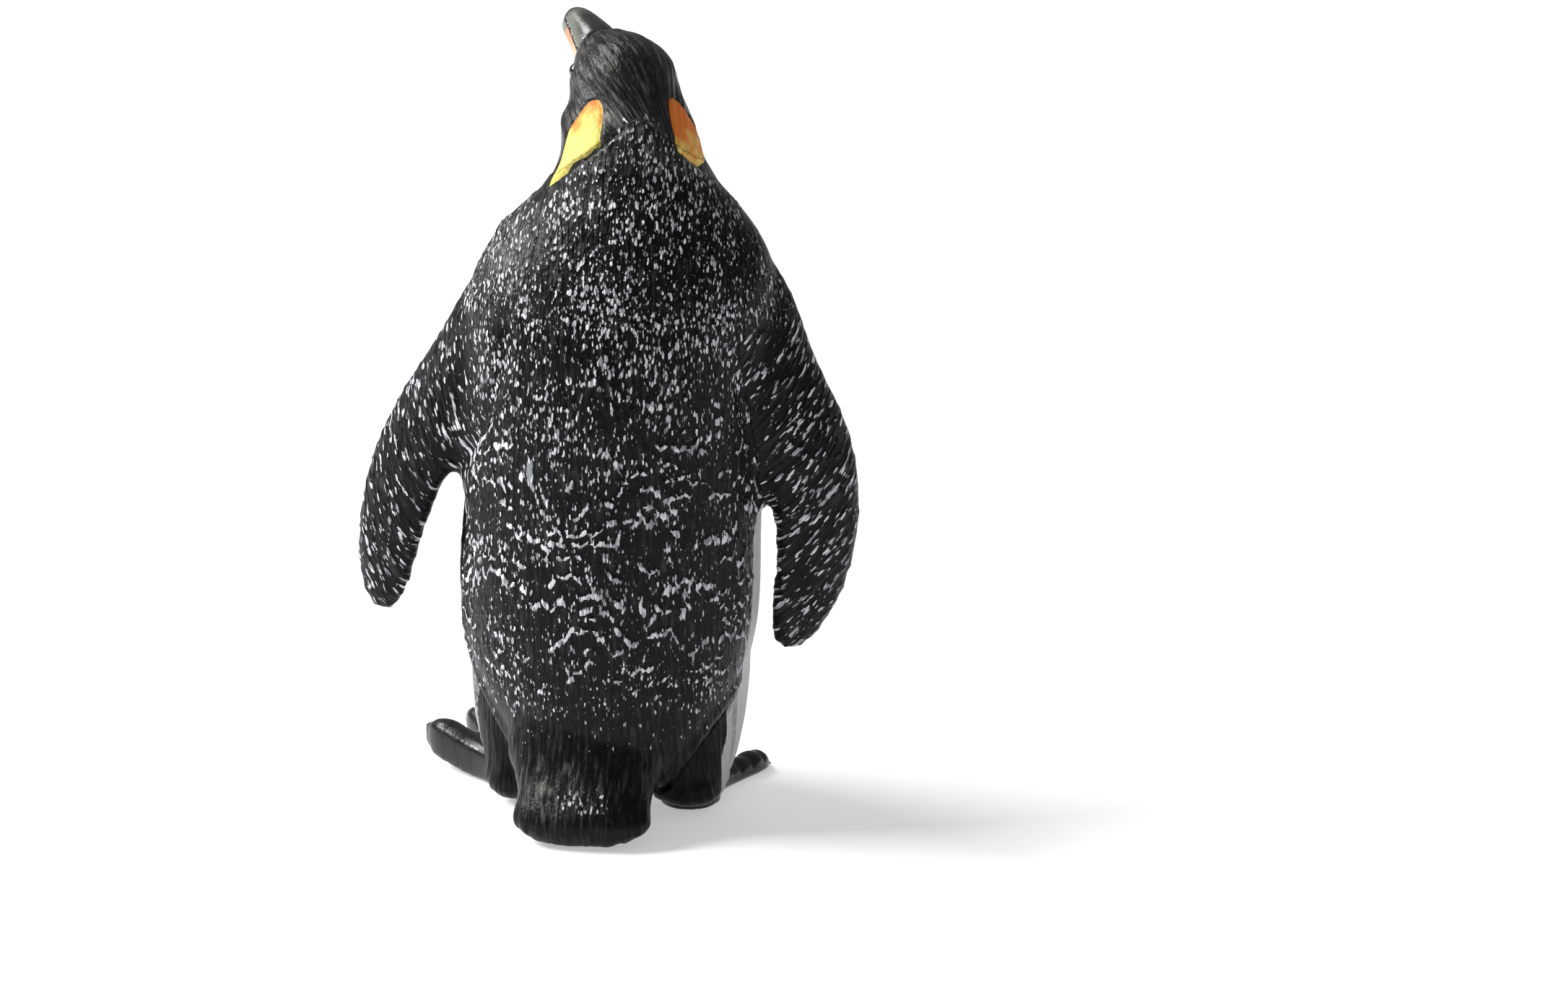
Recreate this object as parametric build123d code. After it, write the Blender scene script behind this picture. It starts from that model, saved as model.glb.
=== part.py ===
from build123d import *

import os
from math import cos, radians, sin

# Emperor penguin figurine: a standing bird that looks up over its left shoulder, moulded in
# separate pieces that plug together. Millimetres, +Z up, the bird faces -Y and its left is +X.
# The origin is the bottom centre of the whole figure's box.

# Body: width, depth and height of the torso with its neck, and how far the neck leans sideways
BODY_WIDTH = 22.0
BODY_DEPTH = 21.0
NECK_HEIGHT = 55.0
NECK_LEAN = -1.7
LEAN_POWER = 2.6
LEAN_HEIGHT_SHARE = 0.85
# Rows from the rump to the neck's top: height as a share of NECK_HEIGHT, half width of BODY_WIDTH,
# then back, front and forward shift of BODY_DEPTH
BODY_SHARES = (
    (0.047, 0.245, 0.333, 0.286, 0.00),
    (0.100, 0.335, 0.410, 0.410, 0.00),
    (0.173, 0.435, 0.457, 0.495, 0.00),
    (0.255, 0.492, 0.481, 0.533, 0.00),
    (0.364, 0.500, 0.486, 0.552, 0.00),
    (0.491, 0.497, 0.471, 0.538, 0.00),
    (0.618, 0.494, 0.443, 0.505, 0.00),
    (0.709, 0.512, 0.400, 0.457, 0.01),
    (0.764, 0.480, 0.367, 0.424, 0.02),
    (0.802, 0.424, 0.338, 0.390, 0.03),
    (0.842, 0.330, 0.300, 0.343, 0.04),
    (0.868, 0.266, 0.271, 0.305, 0.05),
    (0.900, 0.234, 0.248, 0.267, 0.06),
    (0.935, 0.210, 0.229, 0.243, 0.08),
    (0.965, 0.172, 0.190, 0.205, 0.10),
    (0.987, 0.118, 0.124, 0.133, 0.12),
)

# Side line where the black back meets the white front: height as a share of NECK_HEIGHT and
# distance behind the body's middle as a share of BODY_DEPTH. Two of its rows carry a tongue.
LOW_TONGUE_SHARE = (0.32, 0.085)
HIGH_TONGUE_SHARE = (0.68, -0.19)
SIDE_LINE_SHARES = (
    (0.00, 0.00),
    (0.12, 0.015),
    (0.21, 0.06),
    LOW_TONGUE_SHARE,
    (0.45, 0.04),
    (0.56, -0.12),
    HIGH_TONGUE_SHARE,
    (0.80, -0.16),
    (0.90, -0.02),
)

# Collar: the sloping seat where the head moulding lands
COLLAR_HEIGHT_SHARE = 0.868
COLLAR_SLOPE = 12.0

# Skull and face: the skull's middle lies forward by a share of BODY_DEPTH, and SKULL_DROP below the
# neck's top
SKULL_LENGTH = 9.2
SKULL_WIDTH = 7.8
SKULL_DEPTH = 8.0
SKULL_FORWARD_SHARE = 0.143
SKULL_SIDE = 0.7
SKULL_DROP = 1.4
HEAD_TURN = 38.0
HEAD_TILT = 32.0
FACE_LENGTH = 4.8
# Rows from the skull to the bill's seat: share of FACE_LENGTH, half width of SKULL_WIDTH and
# half depth of SKULL_DEPTH
FACE_SHARES = (
    (0.20, 0.430, 0.430),
    (0.68, 0.345, 0.350),
    (1.00, 0.245, 0.235),
)
EYE_DIAMETER = 1.3
EYE_FORWARD_SHARE = 0.26
EYE_SIDE_SHARE = 0.365
THROAT_DIAMETER = 6.4
THROAT_FORWARD = 1.7
THROAT_DROP = 2.2

# Bill
BILL_LENGTH = 4.6
BILL_WIDTH = 3.4
BILL_DEPTH = 3.2
BILL_DROOP = 8.0
# Rows from seat to tip: share of BILL_LENGTH, half width of BILL_WIDTH, half depth of BILL_DEPTH
BILL_SHARES = (
    (0.00, 0.50, 0.50),
    (0.35, 0.43, 0.43),
    (0.72, 0.34, 0.34),
    (0.93, 0.24, 0.24),
    (1.00, 0.12, 0.12),
)
GAPE_DEPTH_SHARE = 0.06

# Ear patches: yellow panels let into both sides of the neck
PATCH_HEIGHT = 7.0
PATCH_WIDTH = 5.0
PATCH_BASE_SHARE = 0.845
PATCH_FORWARD_SHARE = 0.07
PATCH_FLOOR_SHARE = 0.155
PATCH_TURNS = (38.0, 17.0)
# Outline from the front foot over the top to the rear foot, in shares of PATCH_WIDTH and PATCH_HEIGHT
PATCH_SHARES = (
    (0.66, -0.04),
    (0.28, 0.45),
    (0.12, 0.84),
    (-0.10, 1.00),
    (-0.38, 0.84),
    (-0.60, 0.50),
    (-0.62, 0.22),
)

# Flippers: length along the bent middle line, chord and thickness, then the shoulder's place as shares
# of NECK_HEIGHT, BODY_WIDTH and BODY_DEPTH
FLIPPER_LENGTH = 34.2
FLIPPER_CHORD = 7.5
FLIPPER_THICKNESS = 4.0
SHOULDER_HEIGHT_SHARE = 0.809
SHOULDER_SPREAD_SHARES = (0.212, 0.256)
SHOULDER_BACK_SHARE = 0.03
TWIST_AT_SHOULDER = 42.0
TWIST_AT_TIP = 28.0
# Angles out from the vertical at the shoulder and the tip, and the swing forwards, left then right
SPREAD_ANGLES = (33.0, 24.0)
TIP_ANGLES = (2.0, -26.0)
SWING_ANGLES = (3.0, 2.0)
# Rows from shoulder to tip: share of FLIPPER_LENGTH, half chord of FLIPPER_CHORD, half thickness of
# FLIPPER_THICKNESS
FLIPPER_SHARES = (
    (0.00, 0.26, 0.32),
    (0.10, 0.42, 0.44),
    (0.20, 0.57, 0.50),
    (0.38, 0.51, 0.50),
    (0.54, 0.51, 0.45),
    (0.68, 0.47, 0.39),
    (0.80, 0.41, 0.34),
    (0.91, 0.32, 0.28),
    (0.97, 0.22, 0.20),
    (1.00, 0.08, 0.08),
)
# Share of the length where each flipper starts to bend, left then right
BEND_START_SHARES = (0.61, 0.55)
# Seat of each flipper on the back moulding: height and half distance as shares, and its slope
SEAT_HEIGHT_SHARE = 0.636
SEAT_SPREAD_SHARE = 0.440
SEAT_BACK_SHARE = 0.038
SEAT_SLOPE = 4.0

# Legs: size, half distance as a share of BODY_WIDTH, sideways shift, and how far the left and the right
# leg stand in front of the body's middle
LEG_HEIGHT = 15.0
LEG_WIDTH = 8.0
LEG_DEPTH = 11.4
LEG_SPREAD_SHARE = 0.286
LEG_SHIFT = 0.5
LEG_FORWARDS = (1.2, 0.8)
# Rows from top to ankle: height as a share of LEG_HEIGHT, half width of LEG_WIDTH, half depth of
# LEG_DEPTH, outward shift of LEG_WIDTH and forward shift of LEG_DEPTH
LEG_SHARES = (
    (1.00, 0.42, 0.42, 0.06, 0.10),
    (0.74, 0.50, 0.49, 0.05, 0.10),
    (0.47, 0.48, 0.49, 0.03, 0.08),
    (0.24, 0.41, 0.42, 0.02, 0.05),
    (0.08, 0.32, 0.33, 0.00, 0.02),
)

# Feet: three clawed toes with a web between them; left then right splay and lift
FOOT_LENGTH = 10.3
TOE_WIDTH = 2.3
TOE_DEPTH = 2.0
TOE_FAN = 21.0
CLAW_LENGTH = 0.5
WEB_THICKNESS = 1.2
HEEL_WIDTH = 4.6
HEEL_LENGTH = 5.0
HEEL_DEPTH = 3.0
# Rows from the sole up: share of HEEL_DEPTH, then half size as a share of HEEL_WIDTH and HEEL_LENGTH
HEEL_SHARES = ((-0.12, 0.44), (0.35, 0.50), (0.70, 0.45), (1.0, 0.32))
FOOT_SPLAYS = (31.0, -6.0)
FOOT_LIFTS = (15.0, 0.0)
# Length of the inner, middle and outer toe as shares of FOOT_LENGTH
TOE_SHARES = (0.84, 1.00, 0.94)
# Rows along a toe: share of its length, half width of TOE_WIDTH, half depth of TOE_DEPTH
TOE_FORM_SHARES = (
    (0.00, 0.52, 0.60),
    (0.35, 0.50, 0.54),
    (0.70, 0.44, 0.48),
    (0.94, 0.38, 0.42),
    (1.00, 0.22, 0.25),
)
CLAW_ROOT_SHARE = 0.80
CLAW_WIDTH_SHARE = 0.30
CLAW_TIP_SHARE = 0.21
CLAW_HEIGHT_SHARE = 0.42
WEB_REACH_SHARE = 0.80
WEB_FAN_SHARE = 0.93
WEB_BAY_SHARE = 0.80
SOLE_CUT = 0.25

# Tail: size, slope down to its tip, sideways place, and its root as shares of NECK_HEIGHT and BODY_DEPTH
TAIL_WIDTH = 10.4
TAIL_DEPTH = 8.0
TAIL_LENGTH = 7.1
TAIL_SLOPE = 37.0
TAIL_SIDE = 0.6
TAIL_ROOT_HEIGHT_SHARE = 0.089
TAIL_ROOT_BACK_SHARE = 0.28
# Rows from root to tip: share of the tail's length, half width of TAIL_WIDTH, half depth of TAIL_DEPTH
TAIL_SHARES = (
    (0.00, 0.38, 0.42),
    (0.30, 0.48, 0.38),
    (0.60, 0.51, 0.29),
    (0.84, 0.45, 0.20),
    (0.96, 0.33, 0.14),
    (1.00, 0.18, 0.07),
)
TAIL_SEAM_SHARE = 0.42

# Plug joints: square tongues as width, depth and length, with a named clearance in their sockets
PLUG_CLEARANCE = 0.1
PLUG_ROOT = 0.8
NECK_PLUG = (4.0, 3.2, 4.0)
FRONT_PLUG = (5.0, 4.0, 5.0)
FLIPPER_PLUG = (3.2, 3.6, 4.0)
TAIL_PLUG = (5.0, 2.6, 2.6)
ANKLE_PLUG = (2.2, 2.6, 2.4)
LEG_PLUG = (2.0, 2.0, 3.0)
BILL_PLUG = (1.4, 0.7, 2.2)
LEG_PLUG_HEIGHT_SHARE = 0.44
LEG_PLUG_WALL = 0.5

# Reach of every cutting block past the figure
OVERRUN = 80.0

SIDES = (("left", 1), ("right", -1))


def lean_at(height):
    """Sideways place of the body's middle line at a height."""
    return NECK_LEAN * min(1, height / (LEAN_HEIGHT_SHARE * NECK_HEIGHT)) ** LEAN_POWER


def egg(centre, half_width, back, front):
    """Horizontal egg-shaped section, deeper or shallower in front than behind."""
    rear = EllipticalCenterArc((0, 0), half_width, back, arc_size=180)
    fore = EllipticalCenterArc((0, 0), half_width, front, 180, arc_size=180)
    return Plane(centre) * make_face([rear, fore])


def oval_loft(sections):
    """Smooth solid through ovals, each given as a plane and two half axes."""
    return loft([plane * Ellipse(half_x, half_y) for plane, half_x, half_y in sections])


def half_space(plane):
    """Large block on the plane's normal side."""
    side = OVERRUN + OVERRUN
    return plane * Box(side, side, side, align=(Align.CENTER, Align.CENTER, Align.MIN))


def below_floor():
    """Everything under the surface that the figure stands on."""
    return half_space(Plane((0, 0, 0), z_dir=(0, 0, -1)))


def plug(plane, size, clearance=0):
    """Square tongue rooted on the plane's normal side and reaching behind it, or its socket."""
    width, depth, length = size
    reach = length + clearance
    block = Box(width + 2 * clearance, depth + 2 * clearance, reach + PLUG_ROOT)
    return plane * Pos(0, 0, (PLUG_ROOT - reach) / 2) * block


def body_form():
    """Torso and neck without limbs."""
    sections = []
    for height, width, back, front, forward in BODY_SHARES:
        level = height * NECK_HEIGHT
        centre = (lean_at(level), -forward * BODY_DEPTH, level)
        sections.append(egg(centre, width * BODY_WIDTH, back * BODY_DEPTH, front * BODY_DEPTH))
    return loft(sections)


def skull_plane():
    """Plane at the skull's middle whose normal is the way that the bird looks."""
    turn = radians(HEAD_TURN)
    tilt = radians(HEAD_TILT)
    look = (sin(turn) * cos(tilt), -cos(turn) * cos(tilt), sin(tilt))
    left = (cos(turn), sin(turn), 0)
    level = NECK_HEIGHT - SKULL_DROP
    centre = (lean_at(level) + SKULL_SIDE, -SKULL_FORWARD_SHARE * BODY_DEPTH, level)
    return Plane(centre, x_dir=left, z_dir=look)


def head_form(plane):
    """Skull, face, throat and eyes that sit on top of the neck."""
    skull = plane * scale(Sphere(1), by=(SKULL_WIDTH / 2, SKULL_DEPTH / 2, SKULL_LENGTH / 2))
    face = oval_loft([
        (plane.offset(along * FACE_LENGTH), width * SKULL_WIDTH, depth * SKULL_DEPTH)
        for along, width, depth in FACE_SHARES
    ])
    turn = radians(HEAD_TURN)
    ahead = Vector(sin(turn), -cos(turn), 0) * THROAT_FORWARD
    throat = Pos(plane.origin + ahead - Vector(0, 0, THROAT_DROP)) * Sphere(THROAT_DIAMETER / 2)
    form = skull + face + throat
    for _, side in SIDES:
        place = Pos(side * EYE_SIDE_SHARE * SKULL_WIDTH, 0, EYE_FORWARD_SHARE * SKULL_LENGTH)
        form += plane * place * Sphere(EYE_DIAMETER / 2)
    return form


def bill_form(plane):
    """Whole bill on its seat plane, drooping towards its tip."""
    sections = []
    for along, width, depth in BILL_SHARES:
        droop = BILL_DROOP * along
        reach = along * BILL_LENGTH
        place = Location((0, -reach * sin(radians(droop)), reach * cos(radians(droop))), (droop, 0, 0))
        sections.append((Plane(plane.location * place), width * BILL_WIDTH, depth * BILL_DEPTH))
    return oval_loft(sections)


def patch_prism(side, facing):
    """Teardrop block that cuts an ear patch out of one side of the neck, turned the way it faces."""
    turn = radians(facing)
    base = PATCH_BASE_SHARE * NECK_HEIGHT
    outward = (side * cos(turn), side * sin(turn), 0)
    forward = (sin(turn), -cos(turn), 0)
    centre = (lean_at(base), -PATCH_FORWARD_SHARE * BODY_DEPTH, base)
    plane = Plane(centre, x_dir=forward, z_dir=outward).offset(PATCH_FLOOR_SHARE * BODY_WIDTH)
    points = [(x * PATCH_WIDTH, -side * z * PATCH_HEIGHT) for x, z in PATCH_SHARES]
    outline = make_face([Spline(points), Line(points[-1], points[0])])
    return extrude(plane * outline, OVERRUN)


def flipper_form(side, shoulder_share, root_angle, tip_angle, swing, bend_start):
    """One flipper from inside the shoulder to its tip."""
    height = SHOULDER_HEIGHT_SHARE * NECK_HEIGHT
    x = lean_at(height) + side * shoulder_share * BODY_WIDTH
    point = Vector(x, SHOULDER_BACK_SHARE * BODY_DEPTH, height)
    previous = 0
    sections = []
    for along, chord, thickness in FLIPPER_SHARES:
        bend = max(0, (along - bend_start) / (1 - bend_start))
        spread = radians(root_angle + (tip_angle - root_angle) * bend)
        level = cos(spread)
        down = Vector(side * sin(spread), -sin(radians(swing)) * level, -cos(radians(swing)) * level)
        point = point + down * ((along - previous) * FLIPPER_LENGTH)
        previous = along
        twist = radians(TWIST_AT_SHOULDER + (TWIST_AT_TIP - TWIST_AT_SHOULDER) * along)
        chord_way = Vector(side * cos(twist), -sin(twist), 0)
        plane = Plane(point, x_dir=chord_way - down * chord_way.dot(down), z_dir=down)
        sections.append((plane, chord * FLIPPER_CHORD, thickness * FLIPPER_THICKNESS))
    return oval_loft(sections)


def seat_plane(side):
    """Sloping face where a flipper meets the back moulding; its normal points outwards."""
    slope = radians(SEAT_SLOPE)
    height = SEAT_HEIGHT_SHARE * NECK_HEIGHT
    x = lean_at(height) + side * SEAT_SPREAD_SHARE * BODY_WIDTH
    outward = (side * cos(slope), 0, sin(slope))
    return Plane((x, SEAT_BACK_SHARE * BODY_DEPTH, height), x_dir=(0, side, 0), z_dir=outward)


def leg_place(side):
    """Point on the floor below the middle of one leg."""
    forward = LEG_FORWARDS[0] if side > 0 else LEG_FORWARDS[1]
    return Vector(LEG_SHIFT + side * LEG_SPREAD_SHARE * BODY_WIDTH, -forward, 0)


def hip_plane(side):
    """Plane of a leg's tongue, a wall behind the side line; its normal points outwards."""
    width, depth, _ = LEG_PLUG
    level = LEG_PLUG_HEIGHT_SHARE * LEG_HEIGHT
    behind = side_line_at(level + depth / 2) + LEG_PLUG_WALL + width / 2
    place = (leg_place(side).X, behind, level)
    return Plane(place, x_dir=(0, side, 0), z_dir=(side, 0, 0))


def leg_form(side):
    """Feathered leg from inside the flank to the ankle."""
    sections = []
    for height, width, depth, outward, forward in LEG_SHARES:
        shift = Vector(side * outward * LEG_WIDTH, -forward * LEG_DEPTH, height * LEG_HEIGHT)
        plane = Plane(leg_place(side) + shift)
        sections.append((plane, width * LEG_WIDTH, depth * LEG_DEPTH))
    return oval_loft(sections)


def toe_plane(reach, height):
    """Plane across a toe that points along -Y."""
    return Plane((0, -reach, height), x_dir=(1, 0, 0), z_dir=(0, -1, 0))


def toe_form(length):
    """One toe with its blunt claw, lying on the floor."""
    toe = oval_loft([
        (toe_plane(along * length, depth * TOE_DEPTH), width * TOE_WIDTH, depth * TOE_DEPTH)
        for along, width, depth in TOE_FORM_SHARES
    ])
    root = CLAW_WIDTH_SHARE * TOE_WIDTH
    tip = CLAW_TIP_SHARE * TOE_WIDTH
    root_height = CLAW_HEIGHT_SHARE * TOE_DEPTH
    start = toe_plane(CLAW_ROOT_SHARE * length, root_height)
    end = toe_plane(length + CLAW_LENGTH, tip)
    return toe + oval_loft([(start, root, root), (end, tip, tip)])


def web_form(lengths):
    """Skin stretched between the three toes, with a round bay between each pair of toe ends."""
    tips = []
    for index, length in enumerate(lengths):
        angle = radians((index - 1) * WEB_FAN_SHARE * TOE_FAN)
        tips.append(Vector(sin(angle), -cos(angle), 0) * (WEB_REACH_SHARE * length))
    corners = [(0, HEEL_LENGTH / 2)] + [(tip.X, tip.Y) for tip in tips]
    skin = extrude(Polygon(*corners, align=None), WEB_THICKNESS)
    for first, second in zip(tips, tips[1:]):
        radius = WEB_BAY_SHARE * (second - first).length / 2
        skin -= Pos((first + second) / 2) * Cylinder(radius, OVERRUN)
    return Pos(0, 0, SOLE_CUT / 2) * skin


def foot_form():
    """Heel, toes, claws and web of a left foot that points along -Y, flat on the floor."""
    lengths = [share * FOOT_LENGTH for share in TOE_SHARES]
    heel = oval_loft([
        (Plane((0, 0, up * HEEL_DEPTH)), wide * HEEL_WIDTH, wide * HEEL_LENGTH)
        for up, wide in HEEL_SHARES
    ])
    form = heel + web_form(lengths)
    for index, length in enumerate(lengths):
        form += Rot(0, 0, (index - 1) * TOE_FAN) * toe_form(length)
    return Pos(0, 0, -SOLE_CUT) * form - below_floor()


def placed_foot(side, splay, lift):
    """Foot of one side, turned out and with its toes raised, below its leg."""
    foot = foot_form()
    if side < 0:
        foot = mirror(foot, about=Plane.YZ)
    pivot = Pos(0, HEEL_LENGTH / 4, 0)
    lifted = pivot * Rot(-lift, 0, 0) * pivot.inverse() * foot
    return Pos(leg_place(side)) * Rot(0, 0, splay) * lifted - below_floor()


def tail_plane(share):
    """Plane across the tail's middle line, from the rump at 0 to the tip at 1."""
    slope = radians(TAIL_SLOPE)
    root = Vector(TAIL_SIDE, TAIL_ROOT_BACK_SHARE * BODY_DEPTH, TAIL_ROOT_HEIGHT_SHARE * NECK_HEIGHT)
    along = Vector(0, cos(slope), -sin(slope))
    return Plane(root + along * (share * TAIL_LENGTH), x_dir=(1, 0, 0), z_dir=along)


def tail_form():
    """Broad wedge of tail feathers that props the bird up behind."""
    return oval_loft([
        (tail_plane(along), width * TAIL_WIDTH, depth * TAIL_DEPTH)
        for along, width, depth in TAIL_SHARES
    ])


def side_line():
    """Points of the side line as the distance behind the body's middle and the height."""
    return [(back * BODY_DEPTH, height * NECK_HEIGHT) for height, back in SIDE_LINE_SHARES]


def side_line_at(level):
    """Distance of the side line behind the body's middle at a height."""
    points = side_line()
    below = [point for point in points if point[1] <= level][-1]
    above = [point for point in points if point[1] > level][0]
    share = (level - below[1]) / (above[1] - below[1])
    return below[0] + share * (above[0] - below[0])


def front_block():
    """Everything in front of the side line."""
    line = side_line()
    low = (line[0][0], -OVERRUN)
    high = (line[-1][0], OVERRUN)
    edges = [
        Line(low, line[0]),
        Spline(line),
        Line(line[-1], high),
        Line(high, (-OVERRUN, OVERRUN)),
        Line((-OVERRUN, OVERRUN), (-OVERRUN, -OVERRUN)),
        Line((-OVERRUN, -OVERRUN), low),
    ]
    return extrude(Plane.YZ * make_face(edges), OVERRUN, both=True)


def one_solid(shape):
    """Largest solid of a cut, without crumbs."""
    return max(shape.solids(), key=lambda solid: solid.volume)


# Uncut forms
collar_rise = radians(COLLAR_SLOPE)
collar_height = COLLAR_HEIGHT_SHARE * NECK_HEIGHT
collar = Plane(
    (lean_at(collar_height), 0, collar_height),
    x_dir=(1, 0, 0),
    z_dir=(0, -sin(collar_rise), cos(collar_rise)),
)
above_collar = half_space(collar)
front = front_block()
body = body_form()
tail_whole = tail_form() - below_floor()
tail_seam = tail_plane(TAIL_SEAM_SHARE)
behind_tail_seam = half_space(tail_seam)
looking = skull_plane()
bill_seat = looking.offset(FACE_LENGTH)

legs = {name: leg_form(side) for name, side in SIDES}
feet = {}
flippers = {}
for index, (name, side) in enumerate(SIDES):
    feet[name] = placed_foot(side, FOOT_SPLAYS[index], FOOT_LIFTS[index])
    angles = (SPREAD_ANGLES[index], TIP_ANGLES[index], SWING_ANGLES[index])
    start = BEND_START_SHARES[index]
    flippers[name] = flipper_form(side, SHOULDER_SPREAD_SHARES[index], *angles, start)

pieces = {}

# Head with its neck, the ear patches and the two halves of the bill
head = (body & above_collar) + head_form(looking)
for (name, side), facing in zip(SIDES, PATCH_TURNS):
    prism = patch_prism(side, facing)
    pieces["ear_patch_" + name] = head & prism
    head -= prism
head += plug(collar, NECK_PLUG)
gape = Plane(bill_seat.location * Pos(0, -GAPE_DEPTH_SHARE * BILL_DEPTH, 0) * Rot(-90, 0, 0))
bill = bill_form(bill_seat)
upper_half = half_space(gape)
for name, half, offset in (("upper", bill & upper_half, 1), ("lower", bill - upper_half, -1)):
    root = Plane(bill_seat.location * Pos(0, offset * BILL_DEPTH / 4, 0))
    pieces[name + "_bill"] = half + plug(root, BILL_PLUG)
    head -= plug(root, BILL_PLUG, PLUG_CLEARANCE)
pieces["head"] = head

# Torso halves
torso = body - above_collar
rump = torso + tail_whole
belly = torso & front
for name, side in SIDES:
    belly += (legs[name] & front) - torso
back = (rump - front) - behind_tail_seam - plug(collar, NECK_PLUG, PLUG_CLEARANCE)
for height, behind in (LOW_TONGUE_SHARE, HIGH_TONGUE_SHARE):
    level = height * NECK_HEIGHT
    root = Plane((lean_at(level), behind * BODY_DEPTH, level), x_dir=(1, 0, 0), z_dir=(0, -1, 0))
    belly += plug(root, FRONT_PLUG)
    back -= plug(root, FRONT_PLUG, PLUG_CLEARANCE)

# Tail
pieces["tail"] = (rump & behind_tail_seam) + plug(tail_seam, TAIL_PLUG)
back -= plug(tail_seam, TAIL_PLUG, PLUG_CLEARANCE)

# Limbs
for name, side in SIDES:
    seat = seat_plane(side)
    outside = half_space(seat)
    flipper = ((flippers[name] + (torso - front)) & outside) - (torso & front)
    pieces["flipper_" + name] = one_solid(flipper) + plug(seat, FLIPPER_PLUG)
    back = back - outside - plug(seat, FLIPPER_PLUG, PLUG_CLEARANCE)

    hip = hip_plane(side)
    ankle_shift = Vector(0, 0, LEG_SHARES[-1][0] * LEG_HEIGHT)
    ankle = Plane(leg_place(side) + ankle_shift, x_dir=(1, 0, 0), z_dir=(0, 0, -1))
    leg = one_solid(legs[name] - rump - front - feet[name]) + plug(hip, LEG_PLUG)
    ankle_hole = feet[name] + plug(ankle, ANKLE_PLUG, PLUG_CLEARANCE)
    pieces["leg_" + name] = leg - ankle_hole
    pieces["foot_" + name] = feet[name] + plug(ankle, ANKLE_PLUG)
    back = back - plug(hip, LEG_PLUG, PLUG_CLEARANCE) - ankle_hole
    belly -= ankle_hole
pieces["belly"] = belly
pieces["back"] = one_solid(back)

# Origin to the bottom centre of the whole figure
box = Compound(children=[one_solid(shape) for shape in pieces.values()]).bounding_box()
home = Pos(-box.center().X, -box.center().Y, -box.min.Z)
os.makedirs("parts", exist_ok=True)
for name, shape in pieces.items():
    export_step(home * one_solid(shape), os.path.join("parts", name + ".step"))
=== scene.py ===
import math

import bmesh
import bpy
import numpy as np
from bpy.props import FloatProperty, FloatVectorProperty, IntProperty, PointerProperty
from mathutils import Matrix, Vector
from mathutils.bvhtree import BVHTree


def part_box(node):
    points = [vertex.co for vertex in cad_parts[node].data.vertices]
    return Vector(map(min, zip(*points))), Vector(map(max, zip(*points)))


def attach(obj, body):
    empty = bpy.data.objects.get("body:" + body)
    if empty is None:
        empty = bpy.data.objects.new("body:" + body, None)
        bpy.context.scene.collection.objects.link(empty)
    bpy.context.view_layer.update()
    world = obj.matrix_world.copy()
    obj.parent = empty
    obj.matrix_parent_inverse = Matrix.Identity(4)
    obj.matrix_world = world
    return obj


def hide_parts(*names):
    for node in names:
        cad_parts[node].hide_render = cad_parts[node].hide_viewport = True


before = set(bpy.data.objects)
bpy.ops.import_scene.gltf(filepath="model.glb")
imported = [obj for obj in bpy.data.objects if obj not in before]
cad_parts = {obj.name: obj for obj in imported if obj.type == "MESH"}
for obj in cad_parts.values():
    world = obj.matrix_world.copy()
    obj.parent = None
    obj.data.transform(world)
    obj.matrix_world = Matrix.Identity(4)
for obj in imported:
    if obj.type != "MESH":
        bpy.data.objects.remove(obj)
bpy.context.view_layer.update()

bl_info = {
    "name": "Penguin figurine",
    "version": (1, 0, 0),
    "blender": (4, 5, 0),
    "location": "View3D > Sidebar > Figurine",
    "description": "Dresses a plug-jointed penguin figurine with sculpted feathers and paint",
    "category": "Object",
}

TAIL_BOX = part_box("tail")
BACK_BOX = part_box("back")
MM = 0.001
PHOTO_WIDTH = 2172
PHOTO_HEIGHT = 1367
SENSOR_WIDTH = 36.0

# Finish of each paint slot
FINISHES = {
    "black_plumage": "brushed_black_feathers",
    "white_plumage": "satin_white_feathers",
    "ear_yellow": "airbrushed_ear_feathers",
    "bill_dark": "glossy_bill",
    "foot_black": "glossy_black_foot",
}

# Feathered solids in the order of their labels, with the paint slot of each
PLUMAGE = {
    "back": "black_plumage",
    "belly": "white_plumage",
    "tail": "black_plumage",
    "head": "black_plumage",
    "ear_patch_left": "ear_yellow",
    "ear_patch_right": "ear_yellow",
    "flipper_left": "black_plumage",
    "flipper_right": "black_plumage",
    "leg_left": "black_plumage",
    "leg_right": "black_plumage",
}
LABELS = list(PLUMAGE)
FLIPPER_SIDES = {"flipper_left": 1, "flipper_right": -1}
LEGS = ("leg_left", "leg_right")
NECK = ("head", "ear_patch_left", "ear_patch_right")


# Settings

def length_setting(name, description, millimetres):
    """Setting that holds a length."""
    return FloatProperty(name=name, description=description, default=millimetres * MM, precision=5,
                         unit="LENGTH")


def angle_setting(name, description, degrees):
    """Setting that holds an angle."""
    return FloatProperty(name=name, description=description, default=math.radians(degrees), subtype="ANGLE")


def color_setting(name, description, *shares):
    """Setting that holds a linear colour."""
    return FloatVectorProperty(name=name, description=description, default=shares, subtype="COLOR")


class SkinSettings(bpy.types.PropertyGroup):
    """Sizes of the sculpted skin that runs over all the feathered pieces."""

    voxel: length_setting("Grid", "Grid of the first rough skin", 0.60)
    levels: IntProperty(name="Subdivisions", description="Subdivisions of the rough skin", default=2)
    passes: IntProperty(name="Smoothing", description="Smoothing passes over the rough skin", default=6)
    seam_passes: IntProperty(name="Seam smoothing", description="Further passes near the seams", default=24)
    seam_reach: length_setting("Seam reach", "Distance from a seam that these passes reach", 1.2)
    stroke_relief: length_setting("Stroke relief", "Height of the raised painted strokes", 0.06)
    hair_relief: length_setting("Hair relief", "Depth of the fine grooves", 0.12)


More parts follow.
